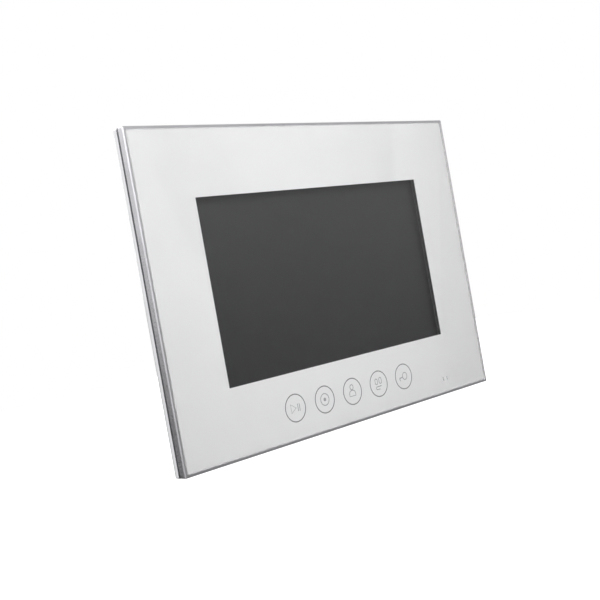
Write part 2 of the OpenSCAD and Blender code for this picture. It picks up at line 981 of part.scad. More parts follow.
wall_bracket();
front_glass();
panel_print();
panel_tape();
front_frame();
front_housing();
rear_cover();
case_screws();
lcd_gasket();
lcd_bezel();
lcd_cell();
lcd_diffuser();
lcd_light_guide();
backlight_leds();
lcd_flex();
lcd_clips();
clip_screws();
touch_adhesive();
touch_board();
touch_chip();
key_leds();
touch_cable();
microphone();
mic_boot();
speaker_frame();
speaker_magnet();
speaker_cone();
speaker_gasket();
speaker_plug();
speaker_lead();
main_board();
main_chips();
shield_can();
capacitors();
inductors();
board_screws();
door_sockets();
power_socket();
socket_pins();
dip_switch();
dip_slider_1();
dip_slider_2();
sd_socket();
sd_card();
power_switch();
power_knob();
reset_switch();
reset_plunger();
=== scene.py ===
"""Looks of a wall-hung video intercom monitor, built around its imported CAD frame."""
import math
import bmesh
import bpy
from mathutils import Matrix, Vector


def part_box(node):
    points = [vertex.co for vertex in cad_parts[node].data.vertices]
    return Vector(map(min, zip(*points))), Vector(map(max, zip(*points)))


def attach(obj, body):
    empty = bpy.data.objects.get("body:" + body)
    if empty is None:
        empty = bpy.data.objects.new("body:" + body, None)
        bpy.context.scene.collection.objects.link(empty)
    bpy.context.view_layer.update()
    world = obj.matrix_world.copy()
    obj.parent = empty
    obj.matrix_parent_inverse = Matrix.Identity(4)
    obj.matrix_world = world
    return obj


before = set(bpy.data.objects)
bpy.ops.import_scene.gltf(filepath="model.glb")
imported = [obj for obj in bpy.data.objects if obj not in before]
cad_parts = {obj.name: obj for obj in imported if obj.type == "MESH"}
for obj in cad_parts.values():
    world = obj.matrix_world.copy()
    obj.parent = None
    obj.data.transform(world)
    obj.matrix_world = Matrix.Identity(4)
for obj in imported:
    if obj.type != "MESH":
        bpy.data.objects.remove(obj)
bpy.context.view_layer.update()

MM = 0.001
DEPTH = 24 * MM                 # from the wall to the glass's front face


# ---- Camera ----

LENS_MM = 61.07
SENSOR_MM = 36
CAMERA_AT = (-0.3654, -0.37437, -0.0050)
CAMERA_AHEAD = (0.6960, 0.7179, -0.0108)
CAMERA_UP = (0.1339, -0.1150, 0.9843)
NEAREST, FURTHEST = 0.01, 60    # metres


def add_camera():
    data = bpy.data.cameras.new("camera")
    data.lens = LENS_MM
    data.sensor_width = SENSOR_MM
    data.clip_start = NEAREST
    data.clip_end = FURTHEST
    camera = bpy.data.objects.new("camera", data)
    bpy.context.scene.collection.objects.link(camera)
    ahead = Vector(CAMERA_AHEAD).normalized()
    right = ahead.cross(Vector(CAMERA_UP)).normalized()
    up = right.cross(ahead)
    turn = Matrix((right, up, -ahead)).transposed().to_4x4()
    camera.matrix_world = Matrix.Translation(CAMERA_AT) @ turn
    bpy.context.scene.camera = camera


# ---- Studio ----

def finish(name, colour, rough, metal=0.0):
    """New material with one Principled shader. Returns both."""
    m = bpy.data.materials.new(name)
    m.use_nodes = True
    shader = m.node_tree.nodes["Principled BSDF"]
    shader.inputs["Base Color"].default_value = (*colour, 1)
    shader.inputs["Roughness"].default_value = rough
    shader.inputs["Metallic"].default_value = metal
    return m, shader


def hang(name, data, at, aim):
    """Puts a lamp in the room, turned towards what it lights."""
    lamp = bpy.data.objects.new(name, data)
    bpy.context.scene.collection.objects.link(lamp)
    lamp.location = at
    lamp.rotation_euler = (Vector(aim) - Vector(at)).to_track_quat("-Z", "Y").to_euler()


def add_soft_box(name, at, size, watts, height=None):
    """Square or oblong lamp that lights the whole monitor."""
    data = bpy.data.lights.new(name, "AREA")
    data.shape = "RECTANGLE"
    data.size = size
    data.size_y = height or size
    data.energy = watts
    hang(name, data, at, (0, 0, 0))


def add_spot(name, at, aim, cone, watts, size):
    """Lamp that lights a round patch and fades towards its rim. The cone is in degrees."""
    data = bpy.data.lights.new(name, "SPOT")
    data.energy = watts
    data.spot_size = math.radians(cone)
    data.spot_blend = 1
    data.shadow_soft_size = size
    hang(name, data, at, aim)


def spread(nodes, links, value, low_at, high_at, low, high):
    """Value mapped smoothly from one range to another, whose ends are numbers or sockets."""
    n = nodes.new("ShaderNodeMapRange")
    n.interpolation_type = "SMOOTHSTEP"
    n.inputs["From Min"].default_value = low_at
    n.inputs["From Max"].default_value = high_at
    for key, end in (("To Min", low), ("To Max", high)):
        if isinstance(end, float):
            n.inputs[key].default_value = end
        else:
            links.new(end, n.inputs[key])
    links.new(value, n.inputs["Value"])
    return n.outputs["Result"]


TO_THE_LEFT = (-0.75, -0.2, 0)              # how far left a direction is, as a dot product
WALL_RIGHT, WALL_LEFT = 0.5, 1.2
GROUND_RIGHT, GROUND_LEFT = 0.25, 0.1
HORIZON_LOW, HORIZON_HIGH = -0.13, 0.17


def studio_world():
    """Pale room, brightest to the left and front. Below the horizon it is dark, most so to
    the left."""
    world = bpy.data.worlds.new("studio")
    bpy.context.scene.world = world
    world.use_nodes = True
    nodes, links = world.node_tree.nodes, world.node_tree.links
    nodes.clear()
    out = nodes.new("ShaderNodeOutputWorld")
    mix = nodes.new("ShaderNodeMixShader")
    paths = nodes.new("ShaderNodeLightPath")
    seen = nodes.new("ShaderNodeBackground")
    seen.inputs["Color"].default_value = (1, 1, 1, 1)
    room = nodes.new("ShaderNodeBackground")
    where = nodes.new("ShaderNodeTexCoord")
    split = nodes.new("ShaderNodeSeparateXYZ")
    links.new(where.outputs["Generated"], split.inputs[0])
    side = nodes.new("ShaderNodeVectorMath")
    side.operation = "DOT_PRODUCT"
    side.inputs[1].default_value = TO_THE_LEFT
    links.new(where.outputs["Generated"], side.inputs[0])
    leftness = side.outputs["Value"]
    walls = spread(nodes, links, leftness, -0.75, 0.75, WALL_RIGHT, WALL_LEFT)
    ground = spread(nodes, links, leftness, -0.45, 0.3, GROUND_RIGHT, GROUND_LEFT)
    level = spread(nodes, links, split.outputs["Z"], HORIZON_LOW, HORIZON_HIGH, ground, walls)
    links.new(level, room.inputs["Strength"])
    links.new(paths.outputs["Is Camera Ray"], mix.inputs["Fac"])
    links.new(room.outputs[0], mix.inputs[1])
    links.new(seen.outputs[0], mix.inputs[2])
    links.new(mix.outputs[0], out.inputs["Surface"])


FLOOR_SIZE, FLOOR_Z = 24, -0.9


def studio_floor():
    """Pale floor well below the monitor. Only the camera sees it."""
    bpy.ops.object.select_all(action="DESELECT")
    bpy.ops.mesh.primitive_plane_add(size=FLOOR_SIZE, location=(0, 0, FLOOR_Z))
    floor = bpy.context.object
    floor.name = "floor"
    floor.visible_diffuse = False
    floor.visible_glossy = False
    floor.visible_transmission = False
    floor.visible_shadow = False
    m, shader = finish("pale_floor", (0.8, 0.8, 0.8), 0.9)
    shader.inputs["Emission Color"].default_value = (1, 1, 1, 1)
    shader.inputs["Emission Strength"].default_value = 0.9
    floor.data.materials.append(m)


KEY_LIGHT_AT = (-0.25, -1.6, 1.5)
UPPER_PRINT = (-0.02, -0.024, 0.09)         # the print above the window

add_camera()
bpy.context.scene.view_settings.view_transform = "Standard"
studio_world()
studio_floor()
add_soft_box("key_light", KEY_LIGHT_AT, 1.0, 20)
add_spot("key_spot", KEY_LIGHT_AT, UPPER_PRINT, cone=15, watts=142, size=0.2)
add_soft_box("side_light", (-1.0, -0.2, 0.5), 0.6, 5.5)
add_soft_box("low_front_light", (-0.9, -0.95, -0.2), 0.5, 0.5, height=0.4)
add_soft_box("back_light", (0.6, 1.9, 1.1), 2.4, 22)


# ---- Parts of a finish ----

CLOUD_MM = 22                   # clouds of colour in a moulding
SHEEN_MM = 7                    # patches of gloss in a moulding
METAL_CLOUD_MM = 12
PANE_CLOUD_MM = 35


def node(m, kind, **settings):
    """New node of a material, with its settings."""
    n = m.node_tree.nodes.new(kind)
    for key, value in settings.items():
        setattr(n, key, value)
    return n


def join(m, a, b):
    m.node_tree.links.new(a, b)


def own_mm(m, scale=(1, 1, 1), turn=(0, 0, 0)):
    """The piece's own coordinates, in millimetres, stretched and turned."""
    where = node(m, "ShaderNodeTexCoord")
    fit = node(m, "ShaderNodeMapping")
    fit.inputs["Scale"].default_value = tuple(1000 * s for s in scale)
    fit.inputs["Rotation"].default_value = turn
    join(m, where.outputs["Object"], fit.inputs["Vector"])
    return fit.outputs["Vector"]


def grain(m, vector, size, detail=3.0, rough=0.5):
    """Noise whose blobs are about `size` millimetres across."""
    n = node(m, "ShaderNodeTexNoise")
    n.inputs["Scale"].default_value = 1 / size
    n.inputs["Detail"].default_value = detail
    n.inputs["Roughness"].default_value = rough
    join(m, vector, n.inputs["Vector"])
    return n.outputs["Fac"]


def ramp(m, value, low, high, low_at=0.3, high_at=0.7):
    """Value spread between two numbers or two colours."""
    if isinstance(low, tuple):
        n = node(m, "ShaderNodeValToRGB")
        n.color_ramp.elements[0].position = low_at
        n.color_ramp.elements[0].color = (*low, 1)
        n.color_ramp.elements[1].position = high_at
        n.color_ramp.elements[1].color = (*high, 1)
        join(m, value, n.inputs["Fac"])
        return n.outputs["Color"]
    n = node(m, "ShaderNodeMapRange")
    n.inputs["From Min"].default_value = low_at
    n.inputs["From Max"].default_value = high_at
    n.inputs["To Min"].default_value = low
    n.inputs["To Max"].default_value = high
    join(m, value, n.inputs["Value"])
    return n.outputs["Result"]


def bump(m, shader, value, height):
    """Surface relief, `height` millimetres deep."""
    n = node(m, "ShaderNodeBump")
    n.inputs["Distance"].default_value = height * MM
    n.inputs["Strength"].default_value = 1
    join(m, value, n.inputs["Height"])
    join(m, n.outputs["Normal"], shader.inputs["Normal"])


def shade(colour, by):
    return tuple(max(0.0, min(1.0, c * by)) for c in colour)


# ---- Kinds of finish ----

def moulded(name, colour, rough, texture=0.4, relief=0.01, mottle=0.04):
    """Moulded plastic or rubber: fine texture, slight unevenness of colour and gloss."""
    m, shader = finish(name, colour, rough)
    at = own_mm(m)
    dark, pale = shade(colour, 1 - mottle), shade(colour, 1 + mottle)
    join(m, ramp(m, grain(m, at, CLOUD_MM, 4), dark, pale), shader.inputs["Base Color"])
    join(m, ramp(m, grain(m, at, SHEEN_MM, 4), rough * 0.85, min(1, rough * 1.2)),
         shader.inputs["Roughness"])
    bump(m, shader, grain(m, at, texture, 4, 0.6), relief)
    return m


def sheet_metal(name, colour, rough, along=(1, 1, 1), turn=(0, 0, 0), scratch=0.15,
                relief=0.006, spangle=0.0):
    """Rolled or brushed metal: drawn-out scratches and a cloudy tint. Galvanised metal has
    zinc flowers instead, `spangle` millimetres across."""
    m, shader = finish(name, colour, rough, 1.0)
    at = own_mm(m)
    lines = grain(m, own_mm(m, along, turn), scratch, 3, 0.7)
    tint = grain(m, at, METAL_CLOUD_MM, 4)
    if spangle:
        flowers = node(m, "ShaderNodeTexVoronoi")
        flowers.inputs["Scale"].default_value = 1 / spangle
        join(m, at, flowers.inputs["Vector"])
        tint = flowers.outputs["Color"]
    join(m, ramp(m, tint, shade(colour, 0.9), shade(colour, 1.06)), shader.inputs["Base Color"])
    join(m, ramp(m, lines, rough * 0.75, min(1, rough * 1.3)), shader.inputs["Roughness"])
    bump(m, shader, lines, relief)
    return m


def clear_pane(name, tint, rough=0.0):
    """Clear glass or acrylic that lets the lamps' light through to what it covers."""
    m, shader = finish(name, tint, rough)
    shader.inputs["Transmission Weight"].default_value = 1
    shader.inputs["IOR"].default_value = 1.5
    smears = grain(m, own_mm(m), PANE_CLOUD_MM, 3)
    join(m, ramp(m, smears, rough, rough + 0.012, 0.5, 0.8), shader.inputs["Roughness"])
    out = m.node_tree.nodes["Material Output"]
    through = node(m, "ShaderNodeBsdfTransparent")
    through.inputs["Color"].default_value = (*tint, 1)
    mix = node(m, "ShaderNodeMixShader")
    paths = node(m, "ShaderNodeLightPath")
    join(m, paths.outputs["Is Shadow Ray"], mix.inputs["Fac"])
    join(m, shader.outputs[0], mix.inputs[1])
    join(m, through.outputs[0], mix.inputs[2])
    join(m, mix.outputs[0], out.inputs["Surface"])
    return m


TRACK_LENGTH, TRACK_STEP, TRACK_GAP = 4.6, 1.1, 0.12        # millimetres


def circuit_board(name, mask, copper):
    """Solder mask over copper: tracks and pads show through as lighter, raised lines."""
    m, shader = finish(name, mask, 0.3)
    shader.inputs["Coat Weight"].default_value = 0.4
    at = own_mm(m, turn=(math.radians(90), 0, 0))
    tracks = node(m, "ShaderNodeTexBrick")
    tracks.inputs["Scale"].default_value = 1
    tracks.inputs["Mortar Size"].default_value = TRACK_GAP
    tracks.inputs["Mortar Smooth"].default_value = 0.2
    tracks.inputs["Brick Width"].default_value = TRACK_LENGTH
    tracks.inputs["Row Height"].default_value = TRACK_STEP
    tracks.inputs["Color1"].default_value = (*mask, 1)
    tracks.inputs["Color2"].default_value = (*shade(mask, 0.86), 1)
    tracks.inputs["Mortar"].default_value = (*copper, 1)
    join(m, at, tracks.inputs["Vector"])
    join(m, tracks.outputs["Color"], shader.inputs["Base Color"])
    bump(m, shader, tracks.outputs["Fac"], 0.03)
    join(m, ramp(m, grain(m, at, 4, 3), 0.24, 0.38), shader.inputs["Roughness"])
    return m


def painted_shade_band(m, shader, colour, shade_colour, front, back):
    """Painted shade: darker bare metal for the band between two depths, standing in for the
    shade in the groove, and the first colour elsewhere. The depths are millimetres behind the
    glass's front face."""
    where = node(m, "ShaderNodeTexCoord")
    split = node(m, "ShaderNodeSeparateXYZ")
    join(m, where.outputs["Object"], split.inputs[0])
    far = node(m, "ShaderNodeMath", operation="SUBTRACT")
    far.inputs[1].default_value = -DEPTH + (front + back) / 2 * MM
    join(m, split.outputs["Y"], far.inputs[0])
    off = node(m, "ShaderNodeMath", operation="ABSOLUTE")
    join(m, far.outputs[0], off.inputs[0])
    near = node(m, "ShaderNodeMath", operation="LESS_THAN")
    near.inputs[1].default_value = (back - front) / 2 * MM
    join(m, off.outputs[0], near.inputs[0])
    mix = node(m, "ShaderNodeMix", data_type="RGBA")
    mix.inputs[7].default_value = (*shade_colour, 1)
    join(m, near.outputs[0], mix.inputs[0])
    join(m, near.outputs[0], shader.inputs["Metallic"])
    join(m, colour, mix.inputs[6])
    join(m, mix.outputs[2], shader.inputs["Base Color"])


# The groove's painted shade lies between these two depths
GROOVE_FRONT, GROOVE_BACK = 3.55, 4.85      # millimetres behind the glass's front face


def shell_finish():
    """Glossy white moulding, with painted shade in the groove behind the frame: a darker, dull
    metal band.
    """
    colour = (0.80, 0.80, 0.82)
    m, shader = finish("shell_white", colour, 0.22)
    at = own_mm(m)
    shader.inputs["Coat Weight"].default_value = 0.3
    tone = ramp(m, grain(m, at, CLOUD_MM, 4), shade(colour, 0.97), shade(colour, 1.03))
    # painted shade: the groove is coloured as darker metal to make its shadow line
    painted_shade_band(m, shader, tone, (0.45, 0.45, 0.46), GROOVE_FRONT, GROOVE_BACK)
    join(m, ramp(m, grain(m, at, 6, 3), 0.18, 0.28), shader.inputs["Roughness"])
    bump(m, shader, grain(m, at, 0.8, 4), 0.004)
    return m


# ---- Finish of each CAD piece ----

FRAME_LEAN = (math.radians(35), 0, 0)       # the frame's scratches lean by this much
ALONG_X, ALONG_Y, ALONG_Z = (0.1, 1, 1), (1, 0.12, 1), (1, 1, 0.1)
STEEL = (0.62, 0.63, 0.65)
SCREW_ZINC = (0.5, 0.5, 0.52)
EPOXY = (0.02, 0.02, 0.021)
WHITE_CAP = (0.8, 0.8, 0.8)
SWITCH_GREY = (0.06, 0.06, 0.06)

looks = {
    # Front and back
    "front_glass": clear_pane("panel_glass", (0.99, 0.993, 0.992)),
    "panel_print": moulded("back_print_white", (0.80, 0.797, 0.80), 0.45, 0.3, 0.002, 0.012),
    "panel_tape": moulded("foam_tape_pale", (0.55, 0.55, 0.55), 0.9, 0.25, 0.05, 0.1),
    "front_frame": sheet_metal("frame_brushed", (0.85, 0.84, 0.875), 0.28, ALONG_Y, FRAME_LEAN,
                               0.12, 0.012),
    "front_housing": shell_finish(),
    "rear_cover": moulded("cover_white", (0.76, 0.76, 0.78), 0.5, 0.35, 0.03, 0.02),
    "wall_bracket": sheet_metal("bracket_galvanised", (0.52, 0.54, 0.56), 0.45, ALONG_Z,
                                scratch=0.3, relief=0.004, spangle=4.0),
    # Metal pieces inside
    "lcd_bezel": sheet_metal("bezel_steel", STEEL, 0.3, (0.08, 1, 1)),
    "lcd_clips": sheet_metal("clip_steel", STEEL, 0.35, ALONG_Z),
    "shield_can": sheet_metal("tinned_steel", (0.7, 0.7, 0.7), 0.28, ALONG_X),
    "sd_socket": sheet_metal("socket_shell_steel", (0.68, 0.68, 0.7), 0.3, ALONG_Z),
    "case_screws": sheet_metal("case_screw_zinc", (0.32, 0.32, 0.34), 0.38),
    "clip_screws": sheet_metal("clip_screw_zinc", SCREW_ZINC, 0.36),
    "board_screws": sheet_metal("board_screw_zinc", SCREW_ZINC, 0.36),
    "microphone": sheet_metal("microphone_can", (0.72, 0.72, 0.74), 0.3),
    "capacitors": sheet_metal("capacitor_can", (0.75, 0.76, 0.78), 0.28),
    "socket_pins": sheet_metal("pin_gold", (0.85, 0.62, 0.25), 0.25),
    "speaker_magnet": sheet_metal("magnet_cup", (0.35, 0.35, 0.37), 0.4),
    # Foam, display and lamps
    "lcd_gasket": moulded("gasket_black", (0.014, 0.014, 0.015), 0.8, 0.3, 0.06, 0.2),
    "speaker_gasket": moulded("speaker_foam", (0.02, 0.02, 0.02), 0.9, 0.4, 0.1, 0.2),
    "lcd_cell": moulded("lcd_polariser", (0.008, 0.008, 0.0084), 0.35, 0.2, 0.002, 0.05),
    "lcd_diffuser": moulded("diffuser_film", (0.8, 0.81, 0.81), 0.6, 0.2, 0.01),
    "lcd_light_guide": clear_pane("light_guide_acrylic", (0.95, 0.98, 0.97), 0.02),
    "backlight_leds": moulded("lamp_phosphor", (0.85, 0.75, 0.3), 0.4),
    "key_leds": moulded("key_lamp_white", (0.8, 0.78, 0.66), 0.4),
    "lcd_flex": moulded("flex_amber", (0.45, 0.22, 0.05), 0.3, 0.5, 0.02),
    # Boards, sound, sockets and switches
    "touch_adhesive": moulded("glue_film", (0.7, 0.67, 0.58), 0.5),
    "touch_board": circuit_board("touch_board_green", (0.015, 0.12, 0.05), (0.04, 0.24, 0.1)),
    "main_board": circuit_board("main_board_green", (0.012, 0.11, 0.05), (0.04, 0.22, 0.1)),
    "touch_chip": moulded("touch_chip_epoxy", EPOXY, 0.55, 0.15, 0.02, 0.2),
    "main_chips": moulded("chip_epoxy", EPOXY, 0.55, 0.15, 0.02, 0.2),
    "inductors": moulded("ferrite_grey", (0.06, 0.06, 0.065), 0.6, 0.2, 0.04, 0.2),
    "touch_cable": moulded("flat_cable", (0.62, 0.62, 0.63), 0.45, 0.6, 0.03),
    "mic_boot": moulded("boot_rubber", (0.03, 0.03, 0.03), 0.75, 0.3, 0.03, 0.2),
    "speaker_frame": moulded("speaker_frame_grey", (0.07, 0.07, 0.075), 0.5),
    "speaker_cone": moulded("paper_cone", (0.03, 0.03, 0.03), 0.85, 0.35, 0.1, 0.25),
    "speaker_lead": moulded("wire_insulation", (0.35, 0.03, 0.03), 0.4),
    "speaker_plug": moulded("nylon_ivory", (0.75, 0.71, 0.58), 0.45),
    "door_sockets": moulded("socket_nylon", (0.76, 0.72, 0.6), 0.45),
    "power_socket": moulded("socket_red", (0.45, 0.03, 0.02), 0.45),
    "dip_switch": moulded("dip_blue", (0.02, 0.08, 0.35), 0.45),
    "dip_slider_1": moulded("slider_white_1", WHITE_CAP, 0.4),
    "dip_slider_2": moulded("slider_white_2", WHITE_CAP, 0.4),
    "sd_card": moulded("card_black", (0.02, 0.02, 0.022), 0.5, 0.2, 0.02),
    "power_switch": moulded("switch_body", SWITCH_GREY, 0.5),
    "reset_switch": moulded("reset_body", SWITCH_GREY, 0.5),
    "power_knob": moulded("knob_black", (0.02, 0.02, 0.02), 0.45, 0.25, 0.03),
    "reset_plunger": moulded("plunger_orange", (0.7, 0.2, 0.02), 0.45),
}
for name, look in looks.items():
    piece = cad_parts[name]
    if not piece.material_slots:
        piece.data.materials.append(look)
    for slot in piece.material_slots:
        slot.material = look

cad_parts["front_frame"].visible_shadow = False    # light reaches the print under its lip


# ---- Ways to make a piece ----

def deselect():
    bpy.ops.object.select_all(action="DESELECT")


def settle(piece):
    """Puts the piece's place into its mesh."""
    deselect()
    piece.select_set(True)
    bpy.context.view_layer.objects.active = piece
    bpy.ops.object.transform_apply(location=True, rotation=True, scale=True)


def start_edit():
    """Opens the active piece for editing, with all of it selected."""
    bpy.ops.object.mode_set(mode="EDIT")
    bpy.ops.mesh.select_all(action="SELECT")


def end_edit():
    """Turns all faces outwards and leaves edit mode. Returns the piece."""
    bpy.ops.mesh.select_all(action="SELECT")
    bpy.ops.mesh.normals_make_consistent(inside=False)
    bpy.ops.object.mode_set(mode="OBJECT")
    return bpy.context.object


def extrude(x, y, z):
    bpy.ops.mesh.extrude_region_move(TRANSFORM_OT_translate={"value": (x, y, z)})


def faces_towards(direction, limit=0.9):
    """Selects only the faces that look along a direction. Runs in edit mode."""
    piece = bpy.context.object
    bpy.ops.mesh.select_all(action="DESELECT")
    bm = bmesh.from_edit_mesh(piece.data)
    for face in bm.faces:
        if face.normal.dot(Vector(direction)) > limit:
            face.select_set(True)
    bmesh.update_edit_mesh(piece.data)


def joined(name, parts, look, body="monitor"):
    """Joins parts into one named piece, with its finish and the body it moves with."""
    deselect()
    for part in parts:
        part.select_set(True)
    bpy.context.view_layer.objects.active = parts[0]
    if len(parts) > 1:
        bpy.ops.object.join()
    piece = bpy.context.object
    piece.name = name
    piece.data.materials.clear()
    piece.data.materials.append(look)
    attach(piece, body)


def copies(model, spots):
    """Copies of a part, each with its own mesh. A spot is x, y, z and degrees about the
    board's normal. Removes the model."""
    made = []
    for x, y, z, turn in spots:
        part = model.copy()
        part.data = model.data.copy()
        bpy.context.scene.collection.objects.link(part)
        part.location = (x, y, z)
        part.rotation_euler = (0, math.radians(turn), 0)
        made.append(part)
    bpy.data.objects.remove(model)
    for part in made:
        settle(part)
    return made


# ---- Printed key marks ----

INK_T = 0.03 * MM
INK_Y = -DEPTH + 1.95 * MM      # the marks lie just before the glass's back face
RING_R = 6.5 * MM
RING_LINE = 0.5 * MM
MARK_LINE = 0.42 * MM
KEYS = 5
KEY_PITCH = 20 * MM
KEY_Z = -59.9 * MM
FACING_FRONT = (math.radians(90), 0, 0)


def ink(name, colour):
    """Screen-printed ink, a little uneven."""
    m, shader = finish(name, colour, 0.5)
    join(m, ramp(m, grain(m, own_mm(m), 0.5, 3), shade(colour, 0.92), shade(colour, 1.08)),
         shader.inputs["Base Color"])
    return m


ring_ink = ink("ring_ink", (0.15, 0.153, 0.156))
mark_ink = ink("mark_ink", (0.30, 0.304, 0.31))


def flat_ring(radius, line, x, z, sides=96):
    """Thin printed ring: a disc, inset, opened in the middle and given the ink's thickness.
    A line wider than the radius leaves a full dot."""
    deselect()
    bpy.ops.mesh.primitive_circle_add(vertices=sides, radius=radius + line / 2, fill_type="NGON",
                                      location=(x, INK_Y, z), rotation=FACING_FRONT)
    piece = bpy.context.object
    start_edit()
    if line < radius:
        bpy.ops.mesh.inset(thickness=line)
        bpy.ops.mesh.delete(type="FACE")
        bpy.ops.mesh.select_all(action="SELECT")
    extrude(0, INK_T, 0)
    end_edit()
    settle(piece)
    return piece


def flat_line(points, x, z, closed=False, line=MARK_LINE, at=INK_Y, thick=INK_T):
    """Thin flat line through points in millimetres about (x, z)."""
    curve = bpy.data.curves.new("line", "CURVE")
    curve.dimensions = "3D"
    curve.bevel_depth = line / 2
    curve.bevel_resolution = 2
    curve.use_fill_caps = True
    spline = curve.splines.new("POLY")
    spline.points.add(len(points) - 1)
    for p, (a, b) in zip(spline.points, points):
        p.co = (x + a * MM, 0, z + b * MM, 1)
    spline.use_cyclic_u = closed
    piece = bpy.data.objects.new("line", curve)
    bpy.context.scene.collection.objects.link(piece)
    deselect()
    piece.select_set(True)
    bpy.context.view_layer.objects.active = piece
    bpy.ops.object.convert(target="MESH")
    piece = bpy.context.object
    piece.scale = (1, thick / line, 1)
    piece.location = (0, at + thick / 2, 0)
    settle(piece)
    return piece


def arc(a, b, ra, rb, start, end, steps):
    """Points along an ellipse about (a, b), between two angles in degrees."""
    points = []
    for i in range(steps + 1):
        turn = math.radians(start + (end - start) * i / steps)
        points.append((a + ra * math.cos(turn), b + rb * math.sin(turn)))
    return points


def capsule(a, b, w, h):
    """Outline of an upright bar with round ends."""
    r = w / 2
    return (arc(a, b + h / 2 - r, r, r, 0, 180, 8)
            + arc(a, b - h / 2 + r, r, r, 180, 360, 8))


def mark(name, parts, look=mark_ink):
    joined(name, parts, look)


key_xs = [(i - (KEYS - 1) // 2) * KEY_PITCH for i in range(KEYS)]
for i, x in enumerate(key_xs):
    mark("key_ring_%d" % (i + 1), [flat_ring(RING_R, RING_LINE, x, KEY_Z)], ring_ink)

play, view, person, talk, unlock = key_xs
mark("key_mark_play", [
    flat_line([(-2.9, 2.1), (0.4, 0), (-2.9, -2.1)], play, KEY_Z, True),
    flat_line([(1.6, 1.8), (1.6, -1.8)], play, KEY_Z),
    flat_line([(2.7, 1.8), (2.7, -1.8)], play, KEY_Z)])
mark("key_mark_view", [
    flat_line(arc(0, 0, 2.85, 2.85, 0, 350, 35), view, KEY_Z, True),
    flat_ring(0.45 * MM, 0.9 * MM, view, KEY_Z, 32)])
mark("key_mark_person", [
    flat_line(arc(-0.2, 2.15, 1.15, 1.25, 0, 350, 24), person, KEY_Z, True),
    flat_line(arc(-0.2, -1.2, 2.2, 1.8, 180, 0, 14) + [(2.0, -2.3), (-2.4, -2.3)],
              person, KEY_Z, True)])
mark("key_mark_talk", [
    flat_line(capsule(-1.6, 1.25, 1.8, 2.9), talk, KEY_Z, True),
    flat_line(capsule(1.45, 1.45, 1.8, 3.1), talk, KEY_Z, True),
    flat_line([(1.9, -1.3), (-1.6, -1.4)] + arc(-1.6, -2.1, 0.7, 0.7, 90, 270, 8)
              + [(0.6, -2.8)], talk, KEY_Z)])
mark("key_mark_unlock", [
    flat_line(arc(0.95, 0.1, 1.75, 1.85, 0, 350, 28), unlock, KEY_Z, True),
    flat_line([(-0.75, -0.25), (-3.4, -0.55)], unlock, KEY_Z, line=1.4 * MARK_LINE),
    flat_line([(-3.4, -0.55), (-2.95, -2.0)], unlock, KEY_Z, line=1.2 * MARK_LINE)])


# ---- Microphone mesh ----

MIC_X, MIC_Z = 73.7 * MM, -67.4 * MM
MIC_PITCH = 3.4                 # millimetres between the two slots
WIRE_W, WIRE_T = 0.17 * MM, 0.12 * MM
UPRIGHT_Y = -DEPTH + 0.1 * MM
LEVEL_Y = -DEPTH + 0.16 * MM

mesh_paint = moulded("mesh_painted_white", (0.78, 0.78, 0.79), 0.5, 0.2, 0.004)


def wire(start, end, y):
    return flat_line([start, end], MIC_X, MIC_Z, line=WIRE_W, at=y, thick=WIRE_T)


for i, side in enumerate((-1, 1)):
    middle = side * MIC_PITCH / 2
    wires = [wire((middle + a, -0.8), (middle + a, 0.8), UPRIGHT_Y) for a in (-0.2, 0, 0.2)]
    wires += [wire((middle - 0.25, b / 5), (middle + 0.25, b / 5), LEVEL_Y)
              for b in range(-4, 5)]
    joined("mic_mesh_%d" % (i + 1), wires, mesh_paint)


# ---- Small parts on the boards ----

BOARD_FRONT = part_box("main_board")[0][1]
BOARD_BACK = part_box("main_board")[1][1]

# Each chip: middle x and z, width and height, legs on each side, legs on each end, pitch
CHIPS = (
    (-10, 32, 14, 14, 16, 16, 0.8),
    (-10, 19, 10, 8, 0, 7, 1.27),
    (16, 17, 8, 6, 4, 0, 1.27),
    (-45, -36, 6, 5, 3, 0, 1.27),
    (42, -5, 5, 4, 3, 0, 1.27),
    (-42, 8, 5, 6, 4, 0, 1.27),
)
# Rows of small resistors: first x and z, how many, step in x and z, turn
RESISTOR_ROWS = (
    (-21, 27, 6, 0, 2, 0),
    (-1, 27, 6, 0, 2, 0),
    (-16, 11, 12, 3, 0, 90),
    (-50, -30, 5, 2.4, 0, 90),
    (37, -10, 5, 2.4, 0, 90),
    (-46, 14.5, 4, 2.6, 0, 90),
    (0, -18, 7, 2.4, 0, 90),
    (26, 26, 6, 0, 2.4, 0),
    (34, 14, 5, 0, 2.4, 0),
)
# Sockets: middle x, and how many pins come through the board
SOCKETS = ((-15, 4), (0, 4), (13, 2))
SOCKET_Z = 5
PIN_PITCH = 2.54
# Capacitor cans: middle x and z
CANS = ((-48, 24), (-48, 32), (-36, 48), (-28, 48), (-43, -16), (-43, -8))
CONTACTS, CONTACT_PITCH = 8, 1.05


def block(w, t, h, edge):
    """Block with rounded edges, centred on x and z and standing on y = 0."""
    deselect()
    bpy.ops.mesh.primitive_cube_add(size=1, location=(0, t / 2, 0), scale=(w, t, h))
    settle(bpy.context.object)
    start_edit()
    bpy.ops.mesh.bevel(offset=edge, segments=2, affect="EDGES")
    bpy.ops.object.mode_set(mode="OBJECT")
    return bpy.context.object


def bent_leg(w, body_up):
    """Gull-wing leg that leaves a chip along x: out, down to the board, and a flat foot."""
    deselect()
    bpy.ops.mesh.primitive_cube_add(size=1, location=(0.1 * MM, body_up, 0),
                                    scale=(0.4 * MM, 0.15 * MM, w))
    settle(bpy.context.object)
    start_edit()
    for out, down in ((0.2, body_up - 0.1 * MM), (0.5, 0)):
        faces_towards((1, 0, 0), 0.6)
        extrude(out * MM, -down, 0)
    return end_edit()


